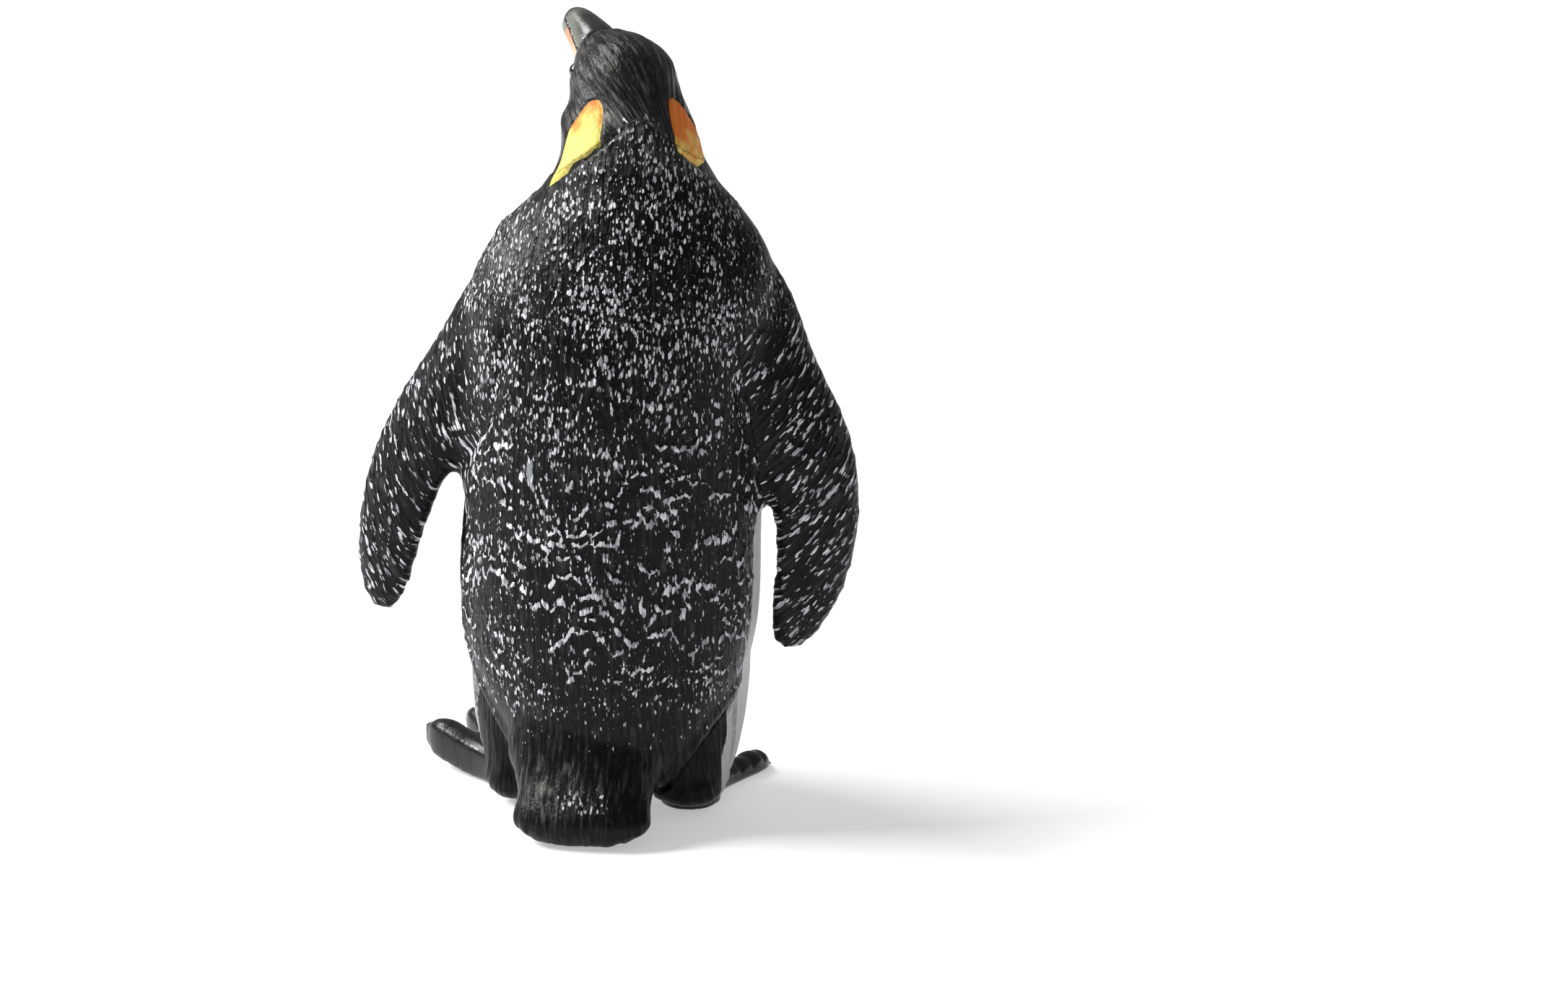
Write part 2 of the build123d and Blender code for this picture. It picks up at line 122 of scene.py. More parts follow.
class HeadSettings(bpy.types.PropertyGroup):
    """Where the head is and which way the bird looks."""

    middle: FloatVectorProperty(name="Skull middle", description="Middle of the skull", precision=5,
                                default=((TAIL_BOX[0].x + TAIL_BOX[1].x) / 2 - 1.6 * MM,
                                         BACK_BOX[1].y - 13.21 * MM, 53.6 * MM), subtype="TRANSLATION")
    turn: angle_setting("Turn", "Turn of the head to the bird's left", 38)
    tilt: angle_setting("Tilt", "Tilt of the head above the level", 32)
    radius: length_setting("Skull radius", "Mean radius of the skull", 4.2)
    face_length: length_setting("Face", "Distance of the bill's seat ahead of the skull's middle", 4.8)
    bill_length: length_setting("Bill", "Length of the bill", 4.6)
    gape_drop: length_setting("Mouth", "Distance of the mouth line below the bill's middle", 0.19)
    eye_diameter: length_setting("Eye", "Diameter of an eye", 1.3)
    eye_side: length_setting("Eye side", "Distance of an eye from the skull's middle plane", 2.85)
    eye_ahead: length_setting("Eye ahead", "Distance of the eyes ahead of the skull's middle", 2.39)


class PaintSettings(bpy.types.PropertyGroup):
    """Paint colours."""

    black: color_setting("Black", "Satin black of the plumage", 0.0035, 0.0035, 0.004)
    # This grey paints both the dry brushing and a painted highlight on the hair lines.
    dry_brush_and_highlight_grey: color_setting("Dust", "Grey dry brushing on the hair lines", 0.170, 0.166, 0.150)
    brushed: color_setting("Brushed white", "White dry brushing on feather tips", 0.80, 0.82, 0.84)
    faint: color_setting("Faint brushing", "Grey of the thinly brushed feather tips", 0.28, 0.29, 0.31)
    white: color_setting("White", "White of the breast and belly", 0.80, 0.79, 0.77)
    cream: color_setting("Cream", "Yellowish upper breast", 0.82, 0.70, 0.34)
    yellow: color_setting("Yellow", "Lower ear patch", 0.90, 0.76, 0.19)
    orange: color_setting("Orange", "Airbrushed upper ear patch", 0.86, 0.22, 0.03)
    bill: color_setting("Bill", "Dark grey of the bill", 0.016, 0.017, 0.016)
    bill_side: color_setting("Bill side", "Grey-green above the mouth", 0.17, 0.18, 0.15)
    plate: color_setting("Bill plate", "Orange plate on the lower bill", 0.85, 0.24, 0.10)
    gape: color_setting("Gape", "Cream where the plate runs out at the face", 0.82, 0.50, 0.30)
    foot: color_setting("Foot", "Glossy black of the feet", 0.006, 0.006, 0.007)


class StageSettings(bpy.types.PropertyGroup):
    """Camera and light."""

    azimuth: angle_setting("Azimuth", "Camera's turn round the figure", 187.5)
    elevation: angle_setting("Elevation", "Camera's angle above the floor", 15)
    distance: length_setting("Distance", "Camera's distance from the figure's foot point", 328)
    lens: FloatProperty(name="Lens", description="Focal length in millimetres on the sensor", default=100.03)
    foot_pixel: FloatVectorProperty(name="Foot pixel", description="Photo pixel of the figure's foot point",
                                    default=(839, 1109), size=2)
    key: FloatProperty(name="Key light", description="Strength of the sun", default=1.9)
    softbox: FloatProperty(name="Softbox", description="Power of the softbox beside the camera", default=1.6,
                           unit="POWER")
    softbox_size: length_setting("Softbox size", "Width of the softbox", 120)
    sky: FloatProperty(name="Sky", description="Strength of the even light from all round", default=0.26)


# Arrays and fields

def points_of(mesh):
    """Vertex places of a mesh as rows."""
    flat = np.empty(len(mesh.vertices) * 3)
    mesh.vertices.foreach_get("co", flat)
    return flat.reshape(-1, 3)


def normals_of(mesh):
    """Vertex normals of a mesh as rows."""
    flat = np.empty(len(mesh.vertices) * 3)
    mesh.vertex_normals.foreach_get("vector", flat)
    return flat.reshape(-1, 3)


def set_points(mesh, points):
    """Moves a mesh's vertices to the given rows."""
    mesh.vertices.foreach_set("co", points.astype(np.float32).ravel())
    mesh.update()


def set_field(mesh, name, values):
    """Stores a number or a vector for each vertex."""
    kind = "FLOAT" if values.ndim == 1 else "FLOAT_VECTOR"
    field = mesh.attributes.new(name, kind, "POINT")
    field.data.foreach_set("value" if values.ndim == 1 else "vector", values.astype(np.float32).ravel())


def get_field(mesh, name):
    """Reads a number for each vertex."""
    values = np.empty(len(mesh.vertices))
    mesh.attributes[name].data.foreach_get("value", values)
    return values


def ease(value, low, high):
    """Smooth step from 0 at low to 1 at high."""
    share = np.clip((value - low) / (high - low), 0, 1)
    return share * share * (3 - 2 * share)


def bell(value, width):
    """Smooth bump that is 1 where the value is 0."""
    return np.exp(-(value / width) ** 2)


def scatter(column, row, salt):
    """Repeatable random share of a lattice cell."""
    wave = np.sin(column * 127.1 + row * 311.7 + salt * 74.7) * 43758.5453
    return wave - np.floor(wave)


def soft_noise(x, y, salt):
    """Smooth random field from 0 to 1 with about one bump per unit."""
    column, row = np.floor(x), np.floor(y)
    across = ease(x - column, 0, 1)
    along = ease(y - row, 0, 1)
    low = scatter(column, row, salt) * (1 - across) + scatter(column + 1, row, salt) * across
    high = scatter(column, row + 1, salt) * (1 - across) + scatter(column + 1, row + 1, salt) * across
    return low * (1 - along) + high * along


def lattice(column, row, stagger=0.0):
    """Cells round each place on a lattice, with the place from each cell's middle across and along."""
    for step in (-1, 0, 1):
        cell_row = np.floor(row) + step
        shift = stagger * np.mod(cell_row, 2)
        for side in (-1, 0, 1):
            cell = np.floor(column - shift) + side
            yield cell, cell_row, column - shift - cell - 0.5, row - cell_row - 0.5


class Neighbours:
    """Edges of a mesh, for averages over the vertices round each vertex."""

    def __init__(self, mesh):
        ends = np.empty(len(mesh.edges) * 2, dtype=np.int64)
        mesh.edges.foreach_get("vertices", ends)
        ends = ends.reshape(-1, 2)
        self.count = len(mesh.vertices)
        self.start = np.concatenate([ends[:, 0], ends[:, 1]])
        self.end = np.concatenate([ends[:, 1], ends[:, 0]])
        self.degree = np.maximum(1, np.bincount(self.start, minlength=self.count))

    def mean(self, values):
        """Mean of the neighbours' values."""
        if values.ndim == 1:
            return np.bincount(self.start, values[self.end], self.count) / self.degree
        return np.column_stack([self.mean(column) for column in values.T])

    def island(self):
        """True for the vertices that hang together with the most others."""
        label = np.arange(self.count)
        while True:
            lowest = label.copy()
            np.minimum.at(lowest, self.start, label[self.end])
            lowest = np.minimum(lowest, lowest[lowest])
            if np.array_equal(lowest, label):
                break
            label = lowest
        return label == np.bincount(label).argmax()


# Solids and skins

def form_of(mesh):
    """Form for editing a copy of a mesh."""
    form = bmesh.new()
    form.from_mesh(mesh)
    return form


def mesh_from(form, name):
    """New mesh from a form, which is freed."""
    mesh = bpy.data.meshes.new(name)
    form.to_mesh(mesh)
    form.free()
    return mesh


def linked(name, data):
    """New object in the scene."""
    made = bpy.data.objects.new(name, data)
    bpy.context.scene.collection.objects.link(made)
    return made


def held_off(height):
    """Millimetres that a flipper is held off the body below its armpit while the skin is made."""
    return 0.9 * ease(25.0 - height, 0, 6)


def merged_solid(name):
    """Merged copy of a solid's mesh, in millimetres, with a flipper held off the body."""
    form = form_of(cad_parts[name].data)
    bmesh.ops.scale(form, vec=(1 / MM,) * 3, verts=form.verts)
    bmesh.ops.remove_doubles(form, verts=form.verts, dist=1e-4)
    if name in FLIPPER_SIDES:
        for vert in form.verts:
            vert.co.x += FLIPPER_SIDES[name] * held_off(vert.co.z)
    return mesh_from(form, name + "_solid")


def evaluated(mesh, kind, **settings):
    """New mesh that a modifier of the given kind makes from a mesh."""
    holder = linked("holder", mesh)
    modifier = holder.modifiers.new("finish", kind)
    for name, value in settings.items():
        setattr(modifier, name, value)
    made = bpy.data.meshes.new_from_object(holder.evaluated_get(bpy.context.evaluated_depsgraph_get()))
    bpy.data.objects.remove(holder)
    bpy.data.meshes.remove(mesh)
    return made


def rough_skin(names, voxel, filling=()):
    """Even quads over the outside of some solids and rounded fillings taken together, in millimetres."""
    form = bmesh.new()
    for place, radii in filling:
        shape = Matrix.LocRotScale(Vector(place), None, Vector(radii))
        bmesh.ops.create_uvsphere(form, u_segments=48, v_segments=24, radius=1, matrix=shape)
    for name in names:
        solid = merged_solid(name)
        form.from_mesh(solid)
        bpy.data.meshes.remove(solid)
    mesh = evaluated(mesh_from(form, "rough"), "REMESH", mode="VOXEL", voxel_size=voxel / MM)
    form = form_of(mesh)
    kept = Neighbours(mesh).island()
    form.verts.ensure_lookup_table()
    loose = [form.verts[index] for index in np.flatnonzero(~kept)]
    bmesh.ops.delete(form, geom=loose, context="VERTS")
    form.to_mesh(mesh)
    form.free()
    return mesh


def distances(points):
    """Distance in millimetres from each point to each feathered solid, one row a solid."""
    rows = []
    for name in LABELS:
        solid = merged_solid(name)
        form = form_of(solid)
        tree = BVHTree.FromBMesh(form)
        rows.append([tree.find_nearest(point)[3] for point in points])
        form.free()
        bpy.data.meshes.remove(solid)
    return np.array(rows)


def calm(points, near, passes, weight=None):
    """Smooths points without shrinking the form, everywhere or by a weight."""
    share = 1 if weight is None else weight[:, None]
    for _ in range(passes):
        points = points + 0.5 * share * (near.mean(points) - points)
        points = points - 0.52 * share * (near.mean(points) - points)
    return points


def settle(points, near, passes, weight):
    """Smooths points by a weight and fills hollows as it does so."""
    for _ in range(passes):
        points = points + 0.6 * weight[:, None] * (near.mean(points) - points)
    return points


def distance_to_track(points, track):
    """Distance from each point to a line through a few places."""
    nearest = np.full(len(points), np.inf)
    for start, end in zip(np.array(track), np.array(track)[1:]):
        way = end - start
        share = np.clip((points - start) @ way / (way @ way), 0, 1)
        nearest = np.minimum(nearest, np.linalg.norm(points - start - share[:, None] * way, axis=1))
    return nearest


def head_axes(head):
    """Skull middle in millimetres with the directions to its left, its crown and its bill."""
    look = np.array((math.sin(head.turn) * math.cos(head.tilt),
                     -math.cos(head.turn) * math.cos(head.tilt), math.sin(head.tilt)))
    left = np.array((math.cos(head.turn), math.sin(head.turn), 0))
    return np.array(head.middle) / MM, left, np.cross(look, left), look


class Skin:
    """Fine skin over all the feathered pieces, with the fields that its paint follows."""

    # Axis in millimetres that the torso's feathers run round
    AXIS = (-0.7, -1.2)
    # Heights in millimetres and the rows that they get, which follow the slope of the shoulders
    HEIGHTS = (0, 38, 50, 60)
    ROW_PLACES = (0, 38, 54, 68)
    # Creases between the flippers and the back, in millimetres
    CREASES = (
        ((6.0, 6.4, 37.6), (6.4, 6.5, 34.1), (7.7, 5.5, 30.6), (9.4, 3.4, 27.6), (10.0, 1.5, 26.4)),
        ((-10.2, 5.0, 36.1), (-11.0, 3.6, 32.1), (-11.3, 2.8, 28.6), (-11.6, 1.4, 26.0)),
    )
    # White edge on the bird's right flank: heights and places behind the axis, in millimetres
    FLANK_HEIGHTS = (0, 4.6, 9.6, 12.6, 24.6, 28)
    FLANK_PLACES = (1.2, 1.1, 0.9, 1.5, 1.6, 0.8)
    # Collar's height and the reach of its smoothing, in millimetres
    COLLAR_HEIGHT = 47.4
    COLLAR_REACH = 1.4
    # Reach of the smoothing between back and tail, and the gap to both past which it ends
    ROOT_REACH = 1.2
    ROOT_GAP = 0.8
    # Mantle's edge on the nape, as heights and slopes of lines from the skull's middle
    MANTLE_LINES = ((-1.0, 0.0), (-2.5, -0.77), (0.9, 1.0))
    MANTLE_SHARPNESS = 1.6
    # Side and facing of each ear patch and half its width, in degrees
    EAR_FACINGS = ((1, 44), (-1, 13))
    EAR_HALF = 25
    # Slant in degrees of the feather rows on each flipper
    FLIPPER_SLANTS = (("flipper_left", 26), ("flipper_right", 42))
    # Distance between the wavy ridges and width of their links, in millimetres
    CHAIN_PITCH = 1.5
    CHAIN_LINK = 0.6
    # Rounded fillings that lead the back over into the tail: places and radii in millimetres
    FILLING = (((0.9, 5.6, 6.2), (5.4, 4.1, 3.6)), ((0.1, 7.5, 4.5), (5.5, 3.0, 3.2)))

    def __init__(self, settings, head):
        self.head = head
        self.settings = settings
        mesh = rough_skin(LABELS, settings.voxel, self.FILLING)
        near = Neighbours(mesh)
        points = calm(points_of(mesh), near, settings.passes)
        gaps = distances(points)
        nearest = np.sort(gaps, axis=0)
        seam = bell(nearest[1] - nearest[0], settings.seam_reach / MM)
        points = settle(points, near, settings.seam_passes, seam)
        back, tail = gaps[LABELS.index("back")], gaps[LABELS.index("tail")]
        root = bell(back - tail, self.ROOT_REACH) * (np.minimum(back, tail) < self.ROOT_GAP)
        points = settle(points, near, settings.seam_passes, root)
        collar = bell(points[:, 2] - self.COLLAR_HEIGHT, self.COLLAR_REACH)
        points = settle(points, near, settings.seam_passes // 2, collar)
        set_points(mesh, points)
        for name, row in zip(LABELS, gaps):
            set_field(mesh, "gap_" + name, row)
        levels = settings.levels
        self.mesh = evaluated(mesh, "SUBSURF", levels=levels, render_levels=levels)
        self.gaps = np.array([get_field(self.mesh, "gap_" + name) for name in LABELS])
        for name in LABELS:
            self.mesh.attributes.remove(self.mesh.attributes["gap_" + name])
        self.label = self.gaps.argmin(axis=0)
        self.points = points_of(self.mesh)
        for name, side in FLIPPER_SIDES.items():
            part = self.of(name)
            self.points[part, 0] -= side * held_off(self.points[part, 2])
        set_points(self.mesh, self.points)
        self.normals = normals_of(self.mesh)

    def inside(self, *names):
        """Distance in millimetres inside the outline of the named pieces, negative outside."""
        chosen = [LABELS.index(name) for name in names]
        others = [index for index in range(len(LABELS)) if index not in chosen]
        return self.gaps[others].min(axis=0) - self.gaps[chosen].min(axis=0)

    def of(self, *names):
        """True for the vertices of the named pieces."""
        return np.isin(self.label, [LABELS.index(name) for name in names])

    def from_skull(self):
        """Places from the skull's middle along x, y and z, in millimetres."""
        return (self.points - head_axes(self.head)[0]).T

    def mantle(self):
        """Distance in millimetres below the mantle's edge on the nape, where the brushed feathers start."""
        x, _, z = self.from_skull()
        lines = np.array([height + slope * x for height, slope in self.MANTLE_LINES])
        edge = -np.log(np.exp(-self.MANTLE_SHARPNESS * lines).sum(axis=0)) / self.MANTLE_SHARPNESS
        return edge - z

    def ears(self):
        """Distance in millimetres inside the painted ear patches, negative outside."""
        x, y, z = self.from_skull()
        patch = np.full(len(x), -9.0)
        for side, facing in self.EAR_FACINGS:
            turn = np.degrees(np.arctan2(y - 1.7, side * (x + 0.7))) - facing
            half = self.EAR_HALF * np.sqrt(np.clip(1 - (np.maximum(z + 3.3, 0) / 3.2) ** 2, 0, 1))
            patch = np.maximum(patch, np.minimum((half - np.abs(turn)) * 0.085, -0.1 - z))
        return np.minimum(patch, np.minimum(-self.mantle() - 0.1, z + 6.9))

    def front(self):
        """Distance in millimetres inside the white front and the pale undersides of the flippers."""
        x, y, z = self.points.T
        white = self.inside("belly")
        flank = np.interp(z, self.FLANK_HEIGHTS, self.FLANK_PLACES) - y
        side = self.of("back", "leg_right", "belly") & (x < -4) & (z < 28)
        white[side] = np.maximum(white, flank)[side]
        collar = np.maximum(-self.mantle() - 0.1, 1.5 - self.from_skull()[1])
        white[z > 42] = np.minimum(white, collar)[z > 42]
        flipper = self.of(*FLIPPER_SIDES)
        under = -self.normals[:, 1] - 0.45 - 0.6 * ease(z, 20, 34) - 2 * ease(z, 32, 37)
        white[flipper] = np.minimum(under, 1)[flipper]
        return white

    def flow(self):
        """Place of each vertex across and along the lie of the feathers, in millimetres."""
        x, y, z = self.points.T
        out, back = x - self.AXIS[0], y - self.AXIS[1]
        across = np.arctan2(out, back) * np.hypot(out, back)
        belly = self.of("belly")
        across[belly] = (np.arctan2(out, -back) * np.hypot(out, back))[belly]
        along = np.interp(z, self.HEIGHTS, self.ROW_PLACES)
        shoulder = z + 2.0 * soft_noise(x / 1.2, y / 1.2, 31)
        for name, slant in self.FLIPPER_SLANTS:
            part = self.of(name) & (shoulder < 38)
            turn = math.radians(slant)
            chord = 0.85 * FLIPPER_SIDES[name] * x - 0.5 * y
            across[part] = (chord * math.cos(turn) - z * math.sin(turn))[part]
            along[part] = 0.75 * (chord * math.sin(turn) + z * math.cos(turn))[part]
        rump = self.of("tail", "back") & (z < 8)
        along[rump] -= 0.8 * np.maximum(y - 9.3, 0)[rump]
        return across, along

    def face_flow(self):
        """Place of each vertex across and along the hair that runs back from the bill, in millimetres."""
        middle, left, crown, look = head_axes(self.head)
        skull = self.points - middle
        ring = np.hypot(skull @ left, skull @ crown)
        radius = self.head.radius / MM
        return np.arctan2(skull @ left, skull @ crown) * 0.8 * radius, np.arctan2(ring, skull @ look) * radius

    def dashes(self, across, along):
        """Staggered dashes of the upper back and the flippers, 1 at their middles and below 0 outside."""
        flipper = self.of(*FLIPPER_SIDES)
        wide = np.where(flipper, 0.74, 0.72)
        tall = np.where(flipper, 0.86, 0.90)
        half_wide = np.where(flipper, 0.15, 0.18)
        half_tall = np.where(flipper, 0.40, 0.38)
        wander = 1.2 * (soft_noise(across / 3.1, along / 4.0, 3) - 0.5)
        column = (across + 0.5 * (soft_noise(along / 1.6, across / 4.0, 4) - 0.5)) / wide
        row = (along + wander) / tall
        mark = np.full(len(across), -1.0)
        for cell, cell_row, t, s in lattice(column, row, 0.5):
            t = (t - 0.7 * (scatter(cell, cell_row, 1) - 0.5)) * wide
            s = (s - 0.7 * (scatter(cell, cell_row, 2) - 0.5)) * tall
            t = t - s * 0.7 * (scatter(cell, cell_row, 6) - 0.5)
            size = 0.50 + 0.75 * scatter(cell, cell_row, 7)
            mark = np.maximum(mark, 1 - (t / (half_wide * size)) ** 2 - (s / (half_tall * size)) ** 2)
        return mark

    def chains(self, across, along):
        """Wavy broken ridges across the lower back, 1 along their middles and below 0 outside."""
        pitch, wide = self.CHAIN_PITCH, self.CHAIN_LINK
        wander = 3.4 * (soft_noise(across / 3.6, along / 5.0, 21) - 0.5)
        row = (along + wander + 1.1 * (soft_noise(across / 1.4, along / 2.4, 22) - 0.5)) / pitch
        column = across / wide
        mark = np.full(len(across), -1.0)
        for cell, cell_row, t, s in lattice(column, row):
            t = (t - 0.5 * (scatter(cell, cell_row, 23) - 0.5)) * wide
            s = (s - 0.45 * (scatter(cell, cell_row, 24) - 0.5)) * pitch
            slope = (2 * np.mod(cell, 2) - 1) * (0.3 + 0.6 * scatter(cell, cell_row, 25))
            thickness = 0.15 + 0.17 * scatter(cell, cell_row, 26)
            absent = 3.0 * (soft_noise(cell / 1.8, cell_row * 2.3, 27) < 0.47)
            mark = np.maximum(mark, 1 - ((s - slope * t) / thickness) ** 2 - (t / 0.38) ** 2 - absent)
        return mark

    def strokes(self, across, along):
        """Raised strokes that caught the brush, from -1 between them to 1 on their middles."""
        z = self.points[:, 2]
        low = self.of("back") * (1 - ease(z + 3 * soft_noise(across / 2.0, along / 2.0, 8), 30, 35))
        low = low * ease(z, 9, 14)
        dash = self.dashes(across, along)
        upper = np.where(self.of(*FLIPPER_SIDES), 0.8 * dash, 0.10 + 0.5 * dash)
        lower = np.maximum(1.5 * self.chains(across, along), 0.6 * dash - 0.25)
        return upper * (1 - low) + lower * low

    def brushing(self):
        """How much dry brushing each region got, from none to dense."""
        x, y, z = self.points.T
        amount = np.zeros(len(z))
        back = self.of("back")
        amount[back] = (0.4 * ease(z, 4, 7) + 0.6 * ease(z, 7, 16))[back]
        flipper = self.of(*FLIPPER_SIDES)
        amount[flipper] = ease(self.normals[:, 1], -0.1, 0.3)[flipper]
        neck = self.of(*NECK, "back", "belly") & (z > 46)
        start = 1.3 * ease(-self.from_skull()[0], -1.4, 0.6)
        amount[neck] = (ease(self.mantle() + start, 0.1, 0.9) * ease(y, -3.0, -0.5))[neck]
        tail = self.of("tail")
        amount[tail] = (0.9 * bell(x + 0.3, 2.4) * bell(z - 3.5, 1.2))[tail]
        return amount

    def hair_grey_and_highlight(self):
        """How much grey the hair lines of each region get: dry brushing everywhere, with a painted highlight
        added on the left shoulder, the head and the rump.
        """
        x, y, z = self.points.T
        # Painted highlight: the bump on the bird's left shoulder, the head's 0.75 and the rump's bump lighten
        # the hair lines where the light falls; the 0.20 everywhere is dry brushing.
        amount = 0.20 + 0.8 * np.exp(-((x - 6.5) ** 2 + (z - 42.5) ** 2) / 14)
        amount[self.of(*NECK)] = 0.75
        rump = bell(x - 1.5, 3.5) * bell(z - 4.0, 2.6) * ease(y, 4, 6) * ease(z, 1.0, 2.6)
        return np.where(self.of("back", "tail"), np.maximum(amount, rump), amount)

    def face(self):
        """Distances in millimetres inside the cream gape line and the grey-green lores of the face."""
        middle, _, crown, look = head_axes(self.head)
        skull = self.points - middle
        reach = skull @ look - self.head.face_length / MM
        rise = skull @ crown + self.head.gape_drop / MM
        bare = self.of("head")
        gape = np.where(bare & (reach > -3), 0.30 + 0.09 * reach - np.abs(rise + 0.32), -1)
        lores = np.where(bare, np.minimum(reach + 1.5, 1.3 - rise), -1)
        return np.clip(gape, -1, 1), np.clip(lores, -1, 1)

    def hair(self, across, along):
        """Fine groove height at each vertex."""
        def grooves(column, row):
            return soft_noise(column / 0.32, row / 2.4, 11) + soft_noise(column / 0.55, row / 3.5, 12) - 1

        fine = grooves(across, along)
        strength = np.full(len(across), 0.35)
        strength[self.of("belly")] = 0.2
        strength[self.of(*LEGS)] = 1.0
        rump = self.of("tail", "back")
        strength[rump] = (0.35 + 0.6 * ease(9 - self.points[:, 2], 0, 5))[rump]
        x, y, z = self.from_skull()
        neck = self.of(*NECK)
        bare = ease(-self.mantle(), -0.6, 0.6)
        brow = np.exp(-((x - 1.7) ** 2 + (y - 2.0) ** 2 + (z - 2.6) ** 2) / 6.0)
        combed = grooves(*self.face_flow()) * (0.8 + 1.5 * brow)
        fine = fine * strength
        fine[neck] = (fine * (1 - bare) + combed * bare)[neck]
        return fine

    def forms(self):
        """Lift in millimetres of the carved creases, the legs, the cheek, the mantle's edge and the rump."""
        x, y, z = self.from_skull()
        lift = np.zeros(len(x))
        for crease in self.CREASES:
            lift -= 0.45 * bell(distance_to_track(self.points, crease), 0.75)
        height = self.points[:, 2]
        legs = self.gaps[[LABELS.index(name) for name in LEGS]].min(axis=0)
        cape = self.gaps[LABELS.index("back")] - legs
        tuck = 0.6 * ease(cape, 0, 0.3) * np.exp(-np.maximum(cape, 0) / 1.8) * ease(height, 2.2, 4.5)
        flare = 0.8 * bell(height - 1.6, 1.0)
        lift += np.where(self.of(*LEGS), flare - tuck, 0)
        lift += np.where(self.of("back"), 0.22 * bell(cape + 0.7, 0.7), 0)
        cheek = (x - 4.0) ** 2 + (y - 1.4) ** 2 + (z + 2.1) ** 2
        lift += 0.7 * np.exp(-cheek / 2.6)
        edge = self.mantle()
        neck = ease(y, 0.5, 2.5) * (z > -10)
        neck = neck * (ease(x, -1.5, 0.8) + 0.5 * ease(-x, 4.6, 5.6))
        lift -= neck * 0.34 * bell(edge + 0.05, 0.22)
        lift += neck * 0.16 * ease(edge, 0, 0.3) * np.exp(-np.maximum(edge, 0) / 1.4)
        rump = self.of("tail", "back") & (self.points[:, 1] > 5)
        lift += 0.25 * rump * ease(height, 0.5, 2.0) * ease(7 - height, 0, 3)
        return lift - 0.12 * bell(self.ears(), 0.16)

    def sculpt(self):
        """Raises the carved forms, strokes and hair, and stores the fields that the paint follows."""
        across, along = self.flow()
        stroke = self.strokes(across, along)
        settings = self.settings
        lift = self.forms()
        brush = self.brushing()
        lift += brush * np.clip(stroke + 0.5, 0, 1.5) * settings.stroke_relief / MM
        lift += self.hair(across, along) * settings.hair_relief / MM
        points = self.points + self.normals * lift[:, None]
        points[:, 2] = np.maximum(points[:, 2], 0)
        ear = self.ears()
        front = self.front()
        gape, lores = self.face()
        set_points(self.mesh, points)
        combed = self.of(*NECK) & (self.mantle() < -0.4)
        face_across, face_along = self.face_flow()
        across[combed], along[combed] = face_across[combed], face_along[combed]
        for name, values in (("stroke", stroke), ("brush", brush), ("ear", ear), ("front", front),
                             ("gape", gape), ("lores", lores), ("hair_grey_and_highlight", self.hair_grey_and_highlight())):
            set_field(self.mesh, name, values)
        set_field(self.mesh, "flow", np.column_stack([across, along, np.zeros(len(across))]))

    def split(self):
        """Separates the skin into one object per feathered piece, in metres."""
        corners = np.empty(len(self.mesh.loops), dtype=np.int64)
        self.mesh.loops.foreach_get("vertex_index", corners)
        corners = corners.reshape(-1, 4)
        owner = self.gaps[:, corners].mean(axis=2).argmin(axis=0)
        for _ in range(3):
            votes = np.zeros((len(self.points), len(LABELS)))
            np.add.at(votes, (corners, owner[:, None]), 1)
            owner = votes[corners].sum(axis=1).argmax(axis=1)
        for name in LABELS:
            self.mesh.materials.append(bpy.data.materials.new("label_" + name))
        self.mesh.polygons.foreach_set("material_index", owner.astype(np.int32))
        self.mesh.polygons.foreach_set("use_smooth", np.ones(len(owner), dtype=bool))
        self.mesh.transform(Matrix.Scale(MM, 4))
        whole = linked("skin", self.mesh)
        bpy.ops.object.select_all(action="DESELECT")
        whole.select_set(True)
        bpy.context.view_layer.objects.active = whole
        bpy.ops.object.mode_set(mode="EDIT")
        bpy.ops.mesh.select_all(action="SELECT")
        bpy.ops.mesh.separate(type="MATERIAL")
        bpy.ops.object.mode_set(mode="OBJECT")
        for piece in list(bpy.context.selected_objects):
            label = piece.data.materials[0]
            piece.name = "feathered_" + label.name.removeprefix("label_")
            piece.data.materials.clear()
            bpy.data.materials.remove(label)


def rim_runs(form):
    """Closed runs of open edges, each edge with its ends in the order that a cap's face needs."""
    following = {}
    for edge in form.edges:
        if edge.is_boundary:
            walk = edge.link_loops[0].link_loop_prev
            while not walk.edge.is_boundary:
                walk = walk.link_loop_radial_next.link_loop_prev
            following[edge] = walk.edge
    while following:
        run = []
        edge = next(iter(following))
        while edge in following:
            corner = edge.link_loops[0]
            run.append((corner.link_loop_next.vert, corner.vert))
            edge = following.pop(edge)
        yield run


def close_rim(piece):
    """Closes a piece where it meets its neighbours, with flat faces that keep the skin's shading."""
    form = form_of(piece.data)
    for edge in form.edges:
        edge.smooth = not edge.is_boundary
    for run in list(rim_runs(form)):
        middle = form.verts.new(sum((start.co for start, _ in run), Vector()) / len(run))
        for start, end in run:
            form.faces.new((start, end, middle)).smooth = False
    form.to_mesh(piece.data)
    form.free()


def dress(piece, node, slot, material):
    """Paints a finished piece, ties it to the frame and lets it stand for its solid."""
    piece.data.name = piece.name
    piece.data.materials.clear()
    piece.data.materials.append(material)
    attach(piece, "root")
    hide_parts(node)


# Paint

